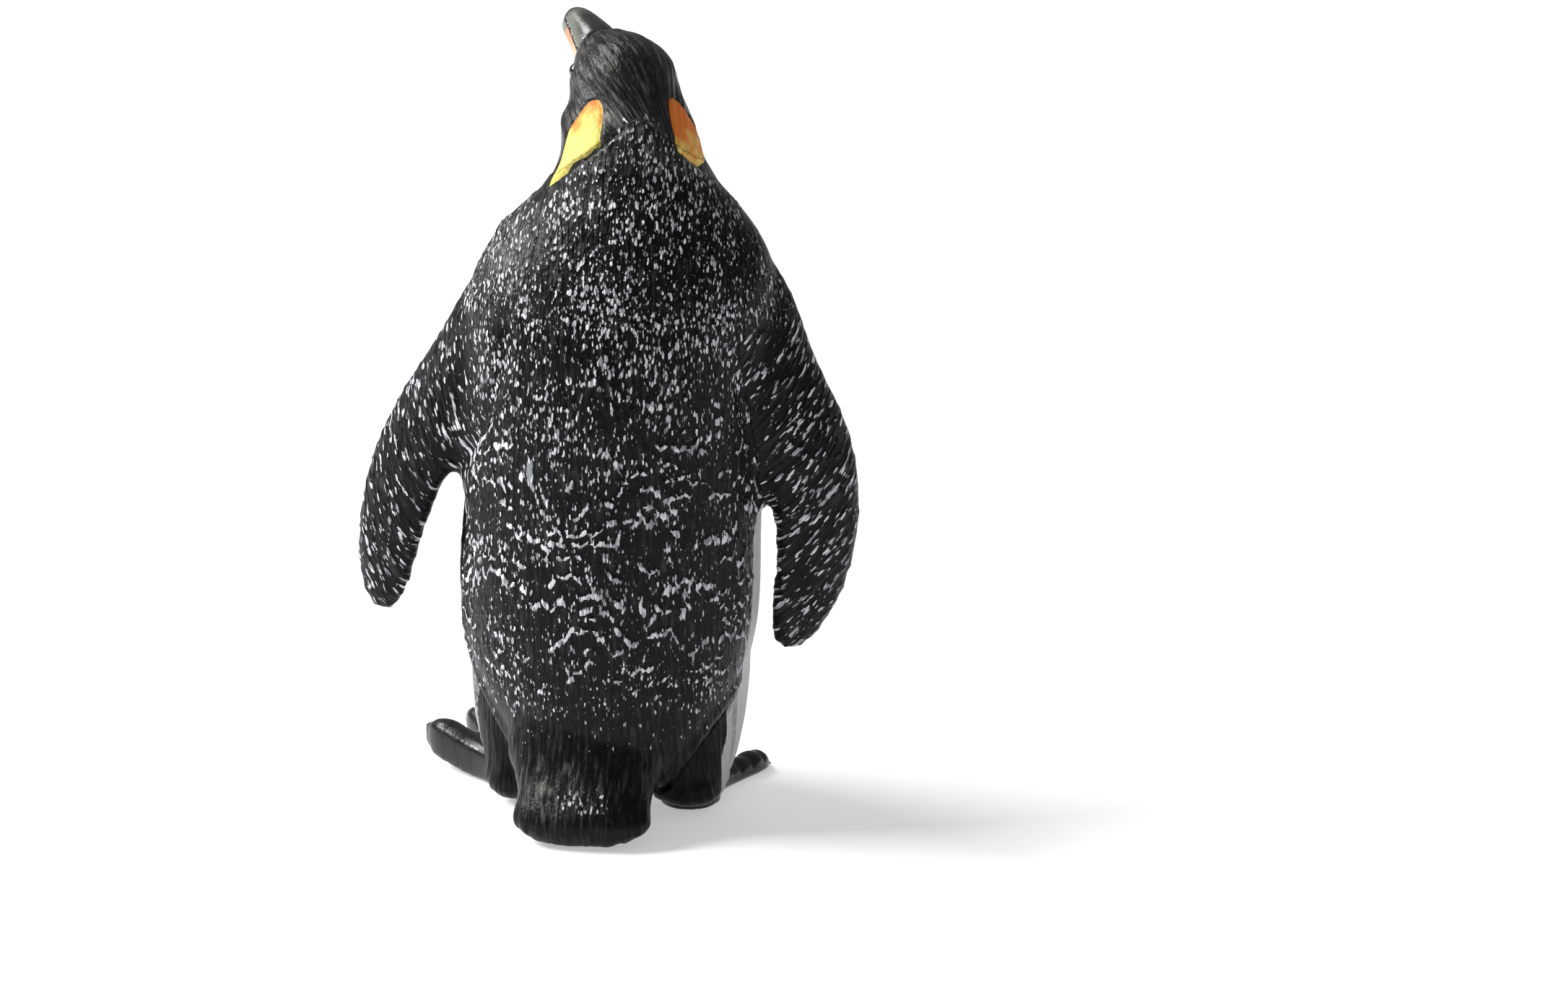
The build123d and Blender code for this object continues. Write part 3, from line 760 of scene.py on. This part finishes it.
class Nodes:
    """Node tree, with short calls for the nodes that the paints and the sky share."""

    def __init__(self, tree):
        self.tree = tree

    def put(self, socket, value):
        """Links a socket to an output, or sets its value."""
        if isinstance(value, bpy.types.NodeSocket):
            self.tree.links.new(value, socket)
        elif socket.type == "RGBA":
            socket.default_value = (*value, 1)
        else:
            socket.default_value = value

    def node(self, kind, inputs=None, **settings):
        """New node with some of its settings and inputs."""
        made = self.tree.nodes.new(kind)
        for name, value in settings.items():
            setattr(made, name, value)
        for key, value in (inputs or {}).items():
            self.put(made.inputs[key], value)
        return made

    def math(self, operation, first, second=0.0):
        """Result of a calculation with one or two values."""
        return self.node("ShaderNodeMath", {0: first, 1: second}, operation=operation).outputs[0]

    def add(self, first, *others):
        """Sum of some values."""
        for other in others:
            first = self.math("ADD", first, other)
        return first

    def times(self, first, second):
        """Product of two values."""
        return self.math("MULTIPLY", first, second)

    def step(self, value, low, high, start=0.0, end=1.0):
        """Smooth step between two values."""
        inputs = {"Value": value, "From Min": low, "From Max": high, "To Min": start, "To Max": end}
        return self.node("ShaderNodeMapRange", inputs, interpolation_type="SMOOTHSTEP").outputs["Result"]


class Paint(Nodes):
    """Node tree of one material."""

    def __init__(self, name):
        self.material = bpy.data.materials.new(name)
        self.material.use_nodes = True
        super().__init__(self.material.node_tree)
        self.shader = self.tree.nodes["Principled BSDF"]
        self.place = self.node("ShaderNodeTexCoord").outputs["Object"]

    def field(self, name, output="Fac"):
        """A field stored on the piece's vertices."""
        return self.node("ShaderNodeAttribute", attribute_name=name).outputs[output]

    def noise(self, vector, scale, detail=2.0, output="Fac"):
        """Cloudy noise."""
        inputs = {"Vector": vector, "Scale": scale, "Detail": detail}
        return self.node("ShaderNodeTexNoise", inputs).outputs[output]

    def cells(self, vector):
        """Distance from the middle of each scattered cell, with two random shares of the cell."""
        inputs = {"Vector": vector, "Scale": 1.0}
        made = self.node("ShaderNodeTexVoronoi", inputs, voronoi_dimensions="2D").outputs
        shares = self.node("ShaderNodeSeparateColor", {0: made["Color"]}).outputs
        return made["Distance"], shares["Red"], shares["Green"]

    def wavered(self, vector, scale, amount):
        """Vector moved about by cloudy noise."""
        inputs = {0: self.noise(vector, scale, output="Color"), 1: (amount,) * 3, 2: vector}
        return self.node("ShaderNodeVectorMath", inputs, operation="MULTIPLY_ADD").outputs["Vector"]

    def stretched(self, vector, scale):
        """Vector scaled by a different number along each axis."""
        return self.node("ShaderNodeMapping", {"Vector": vector, "Scale": scale}).outputs["Vector"]

    def blend(self, share, first, second):
        """Colour between two colours."""
        return self.node("ShaderNodeMix", {"Factor": share, 6: first, 7: second}, data_type="RGBA").outputs[2]

    def bump(self, height, distance, strength):
        """Fine relief in the shading."""
        made = self.node("ShaderNodeBump", {"Height": height, "Distance": distance, "Strength": strength})
        self.put(self.shader.inputs["Normal"], made.outputs["Normal"])

    def finish(self, color, roughness, **sockets):
        """Wires the colour and the roughness, and sets the shader's constant sockets."""
        self.put(self.shader.inputs["Base Color"], color)
        self.put(self.shader.inputs["Roughness"], roughness)
        for name, value in sockets.items():
            self.put(self.shader.inputs[name.replace("_", " ")], value)
        return self.material


# Stretch of the hair lines, streaks and flecks across and along the lie of the feathers
HAIR_STRETCH = (3.6, 0.45, 1)
STREAK_STRETCH = (6.5, 2.2, 1)
FLECK_STRETCH = (4.5, 1.55, 1)
FLECK_SIZE = 0.42
FEATHER_BUMP = 0.14 * MM
# Heights between which the breast turns cream and the ear patches turn orange
CREAM_HEIGHTS = (38 * MM, 46 * MM)
ORANGE_HEIGHTS = (51.2 * MM, 54.2 * MM)


def ear_color(paint, mottle, side, height, colors):
    """Yellow that turns to blotched orange upwards and away from the nape, with a painted highlight that
    keeps the sunny side paler.
    """
    # Painted highlight: on the bird's left, the sunny side, the orange starts up to 1.3 mm higher, so that
    # patch stays paler yellow.
    sunny = paint.step(side, -4 * MM, 0.0, 0.0, 1.3 * MM)
    outer = paint.math("ABSOLUTE", paint.add(side, 2.4 * MM))
    outer = paint.times(paint.math("SUBTRACT", outer, 3.6 * MM), 0.8)
    airbrush = paint.add(paint.math("SUBTRACT", height, sunny), paint.times(mottle, 5.0 * MM), outer)
    return paint.blend(paint.step(airbrush, *ORANGE_HEIGHTS), colors.yellow, colors.orange)


def plumage_paint(name, colors):
    """Black feathers with brushed tips, white front and airbrushed ear patches, by the stored fields."""
    paint = Paint(name)
    flow = paint.field("flow", "Vector")
    hair = paint.noise(paint.stretched(flow, HAIR_STRETCH), 1.0, 3.0)
    streak = paint.noise(paint.stretched(flow, STREAK_STRETCH), 1.0, 2.0)
    mottle = paint.noise(paint.place, 900.0)
    cloud = paint.noise(paint.place, 300.0)
    # Grey on the hair lines, scaled by the stored field: dry brushing everywhere, a painted highlight on the
    # left shoulder, head and rump.
    dry_brush_and_highlight_grey = paint.times(paint.step(hair, 0.44, 0.70), paint.step(mottle, 0.32, 0.66))
    dry_brush_and_highlight_grey = paint.times(dry_brush_and_highlight_grey, paint.field("hair_grey_and_highlight"))
    dry_brushed_and_highlit = paint.blend(dry_brush_and_highlight_grey, colors.black, colors.dry_brush_and_highlight_grey)
    brush = paint.field("brush")
    distance, keep, glint = paint.cells(paint.stretched(paint.wavered(flow, 2.2, 0.3), FLECK_STRETCH))
    cover = paint.times(brush, paint.step(cloud, 0.3, 0.7, 0.22, 0.86))
    stroke = paint.field("stroke")
    bold = paint.math("MAXIMUM", paint.math("SUBTRACT", stroke, 0.3), 0.0)
    cover = paint.add(cover, paint.times(stroke, 0.75), bold)
    cover = paint.add(cover, paint.times(paint.math("SUBTRACT", keep, 0.5), 0.9))
    cover = paint.add(cover, paint.math("SUBTRACT", streak, 0.5))
    cover = paint.math("SUBTRACT", cover, paint.step(brush, 0.0, 0.6, 2.0, 0.0))
    fleck = paint.math("SUBTRACT", paint.times(cover, FLECK_SIZE), distance)
    brushed = paint.step(fleck, -0.05, 0.10)
    white = paint.blend(paint.step(glint, 0.1, 0.8), colors.faint, colors.brushed)
    coat = paint.blend(brushed, dry_brushed_and_highlit, white)
    edge_noise = paint.times(paint.math("SUBTRACT", hair, 0.5), 0.6)
    front = paint.step(paint.add(paint.field("front"), edge_noise), -0.06, 0.06)
    side, _, height = paint.node("ShaderNodeSeparateXYZ", {0: paint.place}).outputs
    breast = paint.blend(paint.step(height, *CREAM_HEIGHTS), colors.white, colors.cream)
    coat = paint.blend(front, coat, breast)
    ear = paint.step(paint.add(paint.field("ear"), paint.times(edge_noise, 0.2)), -0.02, 0.06)
    coat = paint.blend(ear, coat, ear_color(paint, mottle, side, height, colors))
    coat = paint.blend(paint.step(paint.field("lores"), 0.0, 1.0, 0.0, 0.7), coat, colors.bill_side)
    coat = paint.blend(paint.step(paint.field("gape"), -0.02, 0.06), coat, colors.gape)
    paint.bump(paint.add(hair, paint.times(streak, 0.5)), FEATHER_BUMP, 0.9)
    pale = paint.math("MAXIMUM", paint.math("MAXIMUM", front, ear), brushed)
    roughness = paint.step(pale, 0.0, 1.0, 0.36, 0.60)
    gloss = paint.step(paint.field("hair_grey_and_highlight"), 0.3, 0.9, 0.11, 0.32)
    return paint.finish(coat, roughness, Specular_IOR_Level=gloss)


def bill_paint(name, colors):
    """Glossy dark bill with a grey-green side above the mouth and an orange plate below it."""
    paint = Paint(name)
    mottle = paint.noise(paint.place, 1400.0)
    reach = paint.add(paint.field("reach"), paint.times(mottle, 0.12))
    rise = paint.field("rise")
    dark = paint.blend(mottle, colors.bill, [2.0 * value for value in colors.bill])
    side = paint.times(paint.step(rise, 1.3, 0.5), paint.step(reach, 0.98, 0.80))
    coat = paint.blend(side, dark, colors.bill_side)
    plate = paint.blend(paint.step(reach, 0.1, 0.45), colors.gape, colors.plate)
    below = paint.times(paint.step(rise, -0.02, -0.10), paint.step(reach, 0.74, 0.66))
    coat = paint.blend(below, coat, plate)
    lips = paint.math("ABSOLUTE", paint.add(rise, paint.times(mottle, 0.05)))
    coat = paint.blend(paint.step(lips, 0.14, 0.08), coat, colors.black)
    paint.bump(paint.noise(paint.place, 4000.0), 0.03 * MM, 0.4)
    roughness = paint.step(mottle, 0.3, 0.7, 0.20, 0.32)
    return paint.finish(coat, roughness, Specular_IOR_Level=0.5)


def foot_paint(name, colors):
    """Glossy black with a little grey grime between the scutes."""
    paint = Paint(name)
    mottle = paint.noise(paint.place, 1100.0)
    coat = paint.blend(mottle, colors.foot, [2.6 * value for value in colors.foot])
    paint.bump(paint.noise(paint.place, 5000.0), 0.04 * MM, 0.5)
    roughness = paint.step(mottle, 0.3, 0.7, 0.2, 0.34)
    return paint.finish(coat, roughness, Specular_IOR_Level=0.32)


def eye_paint(name):
    """Wet black of an eye."""
    paint = Paint(name)
    mottle = paint.noise(paint.place, 2500.0)
    coat = paint.blend(mottle, (0.004, 0.004, 0.004), (0.02, 0.014, 0.010))
    return paint.finish(coat, 0.08, Coat_Weight=0.6)


# Strength that lifts the paper to white where the camera sees it
PAPER_GLOW = 0.42


def floor_paint(name):
    """Matt white paper that looks white where the light is full."""
    paint = Paint(name)
    fibre = paint.noise(paint.place, 700.0)
    coat = paint.blend(fibre, (0.86, 0.855, 0.89), (0.90, 0.895, 0.93))
    paint.finish(coat, 0.9, Specular_IOR_Level=0.1)
    rays = paint.node("ShaderNodeLightPath").outputs
    seen = paint.math("MAXIMUM", rays["Is Camera Ray"], rays["Is Glossy Ray"])
    glow = paint.node("ShaderNodeEmission", {"Color": (1, 1, 1), "Strength": paint.times(seen, PAPER_GLOW)})
    both = paint.node("ShaderNodeAddShader", {0: paint.shader.outputs[0], 1: glow.outputs[0]})
    paint.put(paint.tree.nodes["Material Output"].inputs["Surface"], both.outputs[0])
    return paint.material


def finish_of(name, make, *values):
    """A finish by its name, made the first time that it is asked for."""
    return bpy.data.materials.get(name) or make(name, *values)


# Operators

class FIGURINE_OT_skin(bpy.types.Operator):
    """Sculpt the feathered skin and part it into its pieces"""

    bl_idname = "figurine.skin"
    bl_label = "Sculpt skin"

    def execute(self, context):
        skin = Skin(context.scene.figurine_skin, context.scene.figurine_head)
        skin.sculpt()
        skin.split()
        return {"FINISHED"}


class FeatheredPieces:
    """Closes, paints and ties the feathered pieces of one group."""

    nodes = ()

    def execute(self, context):
        for node in self.nodes:
            piece = bpy.data.objects["feathered_" + node]
            close_rim(piece)
            slot = PLUMAGE[node]
            dress(piece, node, slot, finish_of(FINISHES[slot], plumage_paint, context.scene.figurine_paint))
        return {"FINISHED"}


class FIGURINE_OT_body(FeatheredPieces, bpy.types.Operator):
    """Finish the back, the belly and the tail"""

    bl_idname = "figurine.body"
    bl_label = "Body and tail"
    nodes = ("back", "belly", "tail")


class FIGURINE_OT_head(FeatheredPieces, bpy.types.Operator):
    """Finish the head and the ear patches"""

    bl_idname = "figurine.head"
    bl_label = "Head and ear patches"
    nodes = ("head", "ear_patch_left", "ear_patch_right")


class FIGURINE_OT_flippers(FeatheredPieces, bpy.types.Operator):
    """Finish the flippers"""

    bl_idname = "figurine.flippers"
    bl_label = "Flippers"
    nodes = ("flipper_left", "flipper_right")


class FIGURINE_OT_legs(FeatheredPieces, bpy.types.Operator):
    """Finish the legs"""

    bl_idname = "figurine.legs"
    bl_label = "Legs"
    nodes = ("leg_left", "leg_right")


class FIGURINE_OT_eyes(bpy.types.Operator):
    """Set the eyes into the head"""

    bl_idname = "figurine.eyes"
    bl_label = "Eyes"
    # Way along which corners and faces are counted, so that their order is the same in each run
    COUNTING_WAY = Vector((1.0, 1.37, 2.11))

    def execute(self, context):
        head = context.scene.figurine_head
        middle, left, _, look = head_axes(head)
        for name, side in (("eye_left", 1), ("eye_right", -1)):
            place = middle + left * side * head.eye_side / MM + look * head.eye_ahead / MM
            form = bmesh.new()
            bmesh.ops.create_uvsphere(form, u_segments=32, v_segments=20, radius=head.eye_diameter / 2)
            form.verts.sort(key=lambda vert: vert.co.dot(self.COUNTING_WAY))
            form.faces.sort(key=lambda face: face.calc_center_median().dot(self.COUNTING_WAY))
            bmesh.ops.translate(form, vec=Vector(place) * MM, verts=form.verts)
            for face in form.faces:
                face.smooth = True
            eye = linked(name, mesh_from(form, name))
            eye.data.materials.append(finish_of("eye_wet", eye_paint))
            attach(eye, "root")
        return {"FINISHED"}


def glossy_skin(node, voxel):
    """Smooth skin over one solid, in millimetres."""
    mesh = rough_skin([node], voxel)
    set_points(mesh, calm(points_of(mesh), Neighbours(mesh), 5))
    return evaluated(mesh, "SUBSURF", levels=1, render_levels=1)


def glossy_piece(name, mesh):
    """Object in metres from a smooth skin in millimetres."""
    mesh.transform(Matrix.Scale(MM, 4))
    mesh.polygons.foreach_set("use_smooth", np.ones(len(mesh.polygons), dtype=bool))
    return linked(name, mesh)


class FIGURINE_OT_bill(bpy.types.Operator):
    """Finish both halves of the bill"""

    bl_idname = "figurine.bill"
    bl_label = "Bill"
    # Grid in metres, and millimetres that the lower half is deepened
    GRID = 0.16 * MM
    DEEPENING = 0.55

    def execute(self, context):
        head = context.scene.figurine_head
        middle, _, crown, look = head_axes(head)
        colors = context.scene.figurine_paint
        for node in ("upper_bill", "lower_bill"):
            mesh = glossy_skin(node, self.GRID)
            places = points_of(mesh) - middle
            rise = places @ crown + head.gape_drop / MM
            ahead = places @ look - head.face_length / MM
            if node == "lower_bill":
                lower = self.DEEPENING * ease(-rise, 0, 0.5) * ease(ahead, -0.5, 0.5)
                set_points(mesh, points_of(mesh) - crown * lower[:, None])
            set_field(mesh, "reach", ahead / (head.bill_length / MM))
            set_field(mesh, "rise", rise)
            piece = glossy_piece("painted_" + node, mesh)
            dress(piece, node, "bill_dark", finish_of(FINISHES["bill_dark"], bill_paint, colors))
        return {"FINISHED"}


class FIGURINE_OT_feet(bpy.types.Operator):
    """Finish both feet with ridged scutes"""

    bl_idname = "figurine.feet"
    bl_label = "Feet"
    # Grid in metres; distance between the scutes and their depths, in millimetres
    GRID = 0.25 * MM
    SCUTE_PITCH = 1.5
    SCUTE_DEPTHS = {"foot_left": 0.04, "foot_right": 0.12}
    # Millimetres that the raised left foot is thickened below and its toes reach out
    THICKENING = 1.4
    TOE_REACH = 1.0

    def execute(self, context):
        colors = context.scene.figurine_paint
        for node, depth in self.SCUTE_DEPTHS.items():
            mesh = glossy_skin(node, self.GRID)
            points = points_of(mesh)
            normals = normals_of(mesh)
            low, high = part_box(node)
            heel = ((low.x + high.x) / 2 / MM, high.y / MM - 3.0)
            reach = np.hypot(points[:, 0] - heel[0], points[:, 1] - heel[1])
            ridge = np.abs(np.sin(reach * math.pi / self.SCUTE_PITCH))
            above = ease(normals[:, 2], -0.1, 0.4) * ease(reach, 3.0, 4.5)
            points = points + normals * (depth * (ridge - 0.6) * above)[:, None]
            if node == "foot_left":
                below = ease(-normals[:, 2], 0, 0.5) * ease(points[:, 2], 0.2, 1.8)
                points[:, 2] -= self.THICKENING * below
                points = settle(points, Neighbours(mesh), 14, np.ones(len(points)))
                points[:, 0] += self.TOE_REACH * ease(points[:, 0], 7, 14)
            points[:, 2] = np.maximum(points[:, 2], 0)
            set_points(mesh, points)
            piece = glossy_piece("glossy_" + node, mesh)
            dress(piece, node, "foot_black", finish_of(FINISHES["foot_black"], foot_paint, colors))
        return {"FINISHED"}


class FIGURINE_OT_stage(bpy.types.Operator):
    """Lay the floor and set the light and the camera"""

    bl_idname = "figurine.stage"
    bl_label = "Stage"
    # Way of the sun's rays and the width that it seems to have, in degrees
    SUN_WAY = (-46, 15, -60)
    SUN_WIDTH = 24
    # Places of the softbox and of what it lights, in millimetres
    SOFTBOX_PLACE = (330, 60, 260)
    SOFTBOX_AIM = (0, 0, 35)

    def execute(self, context):
        stage = context.scene.figurine_stage
        self.lay_floor()
        self.light(context, stage)
        self.place_camera(context, stage)
        context.scene.view_settings.view_transform = "Standard"
        return {"FINISHED"}

    def lay_floor(self):
        """White paper under the figure."""
        form = bmesh.new()
        bmesh.ops.create_grid(form, x_segments=2, y_segments=2, size=4.0)
        floor = linked("floor", mesh_from(form, "floor"))
        floor.data.materials.append(finish_of("white_paper", floor_paint))

    def light(self, context, stage):
        """Sun, softbox and an even sky that the camera sees as white."""
        sun = linked("key", bpy.data.lights.new("key", "SUN"))
        sun.data.energy = stage.key
        sun.data.angle = math.radians(self.SUN_WIDTH)
        sun.rotation_euler = Vector(self.SUN_WAY).to_track_quat("-Z", "Y").to_euler()
        box = linked("softbox", bpy.data.lights.new("softbox", "AREA"))
        box.data.size = stage.softbox_size
        box.data.energy = stage.softbox
        box.location = Vector(self.SOFTBOX_PLACE) * MM
        way = Vector(self.SOFTBOX_AIM) * MM - box.location
        box.rotation_euler = way.to_track_quat("-Z", "Y").to_euler()
        world = bpy.data.worlds.new("studio")
        context.scene.world = world
        world.use_nodes = True
        sky = Nodes(world.node_tree)
        rays = sky.node("ShaderNodeLightPath").outputs
        seen = sky.math("MAXIMUM", rays["Is Camera Ray"], rays["Is Transmission Ray"])
        shader = sky.tree.nodes["Background"].inputs
        sky.put(shader["Color"], (1, 1, 1))
        sky.put(shader["Strength"], sky.step(seen, 0.0, 1.0, stage.sky, 1.0))

    def place_camera(self, context, stage):
        """Camera that puts the figure's foot point on its photo pixel."""
        turn, lift = stage.azimuth, stage.elevation
        right = Vector((math.cos(turn), math.sin(turn), 0))
        back = Vector((math.sin(turn) * math.cos(lift), -math.cos(turn) * math.cos(lift), math.sin(lift)))
        up = back.cross(right)
        size_of_pixel = stage.distance * SENSOR_WIDTH / stage.lens / PHOTO_WIDTH
        aside = (PHOTO_WIDTH / 2 - stage.foot_pixel[0]) * size_of_pixel
        above = (stage.foot_pixel[1] - PHOTO_HEIGHT / 2) * size_of_pixel
        place = right * aside + up * above + back * stage.distance
        camera = linked("camera", bpy.data.cameras.new("camera"))
        camera.data.lens = stage.lens
        camera.data.sensor_width = SENSOR_WIDTH
        camera.data.clip_start = 0.01
        camera.matrix_world = Matrix.Translation(place) @ Matrix((right, up, back)).transposed().to_4x4()
        context.scene.camera = camera


class FIGURINE_PT_sidebar(bpy.types.Panel):
    """Steps that dress the figurine"""

    bl_idname = "FIGURINE_PT_sidebar"
    bl_label = "Penguin figurine"
    bl_space_type = "VIEW_3D"
    bl_region_type = "UI"
    bl_category = "Figurine"

    def draw(self, context):
        for step in STEPS:
            self.layout.operator(step.bl_idname)


STEPS = (FIGURINE_OT_skin, FIGURINE_OT_body, FIGURINE_OT_head, FIGURINE_OT_flippers, FIGURINE_OT_legs,
         FIGURINE_OT_eyes, FIGURINE_OT_bill, FIGURINE_OT_feet, FIGURINE_OT_stage)
SETTINGS = {
    "figurine_skin": SkinSettings,
    "figurine_head": HeadSettings,
    "figurine_paint": PaintSettings,
    "figurine_stage": StageSettings,
}


def register():
    for group in SETTINGS.values():
        bpy.utils.register_class(group)
    for name, group in SETTINGS.items():
        setattr(bpy.types.Scene, name, PointerProperty(type=group))
    for step in STEPS:
        bpy.utils.register_class(step)
    bpy.utils.register_class(FIGURINE_PT_sidebar)


def unregister():
    bpy.utils.unregister_class(FIGURINE_PT_sidebar)
    for step in reversed(STEPS):
        bpy.utils.unregister_class(step)
    for name in SETTINGS:
        delattr(bpy.types.Scene, name)
    for group in reversed(list(SETTINGS.values())):
        bpy.utils.unregister_class(group)


def main():
    register()
    bpy.ops.figurine.skin()
    bpy.ops.figurine.body()
    bpy.ops.figurine.head()
    bpy.ops.figurine.flippers()
    bpy.ops.figurine.legs()
    bpy.ops.figurine.eyes()
    bpy.ops.figurine.bill()
    bpy.ops.figurine.feet()
    bpy.ops.figurine.stage()


if __name__ == "__main__":
    main()
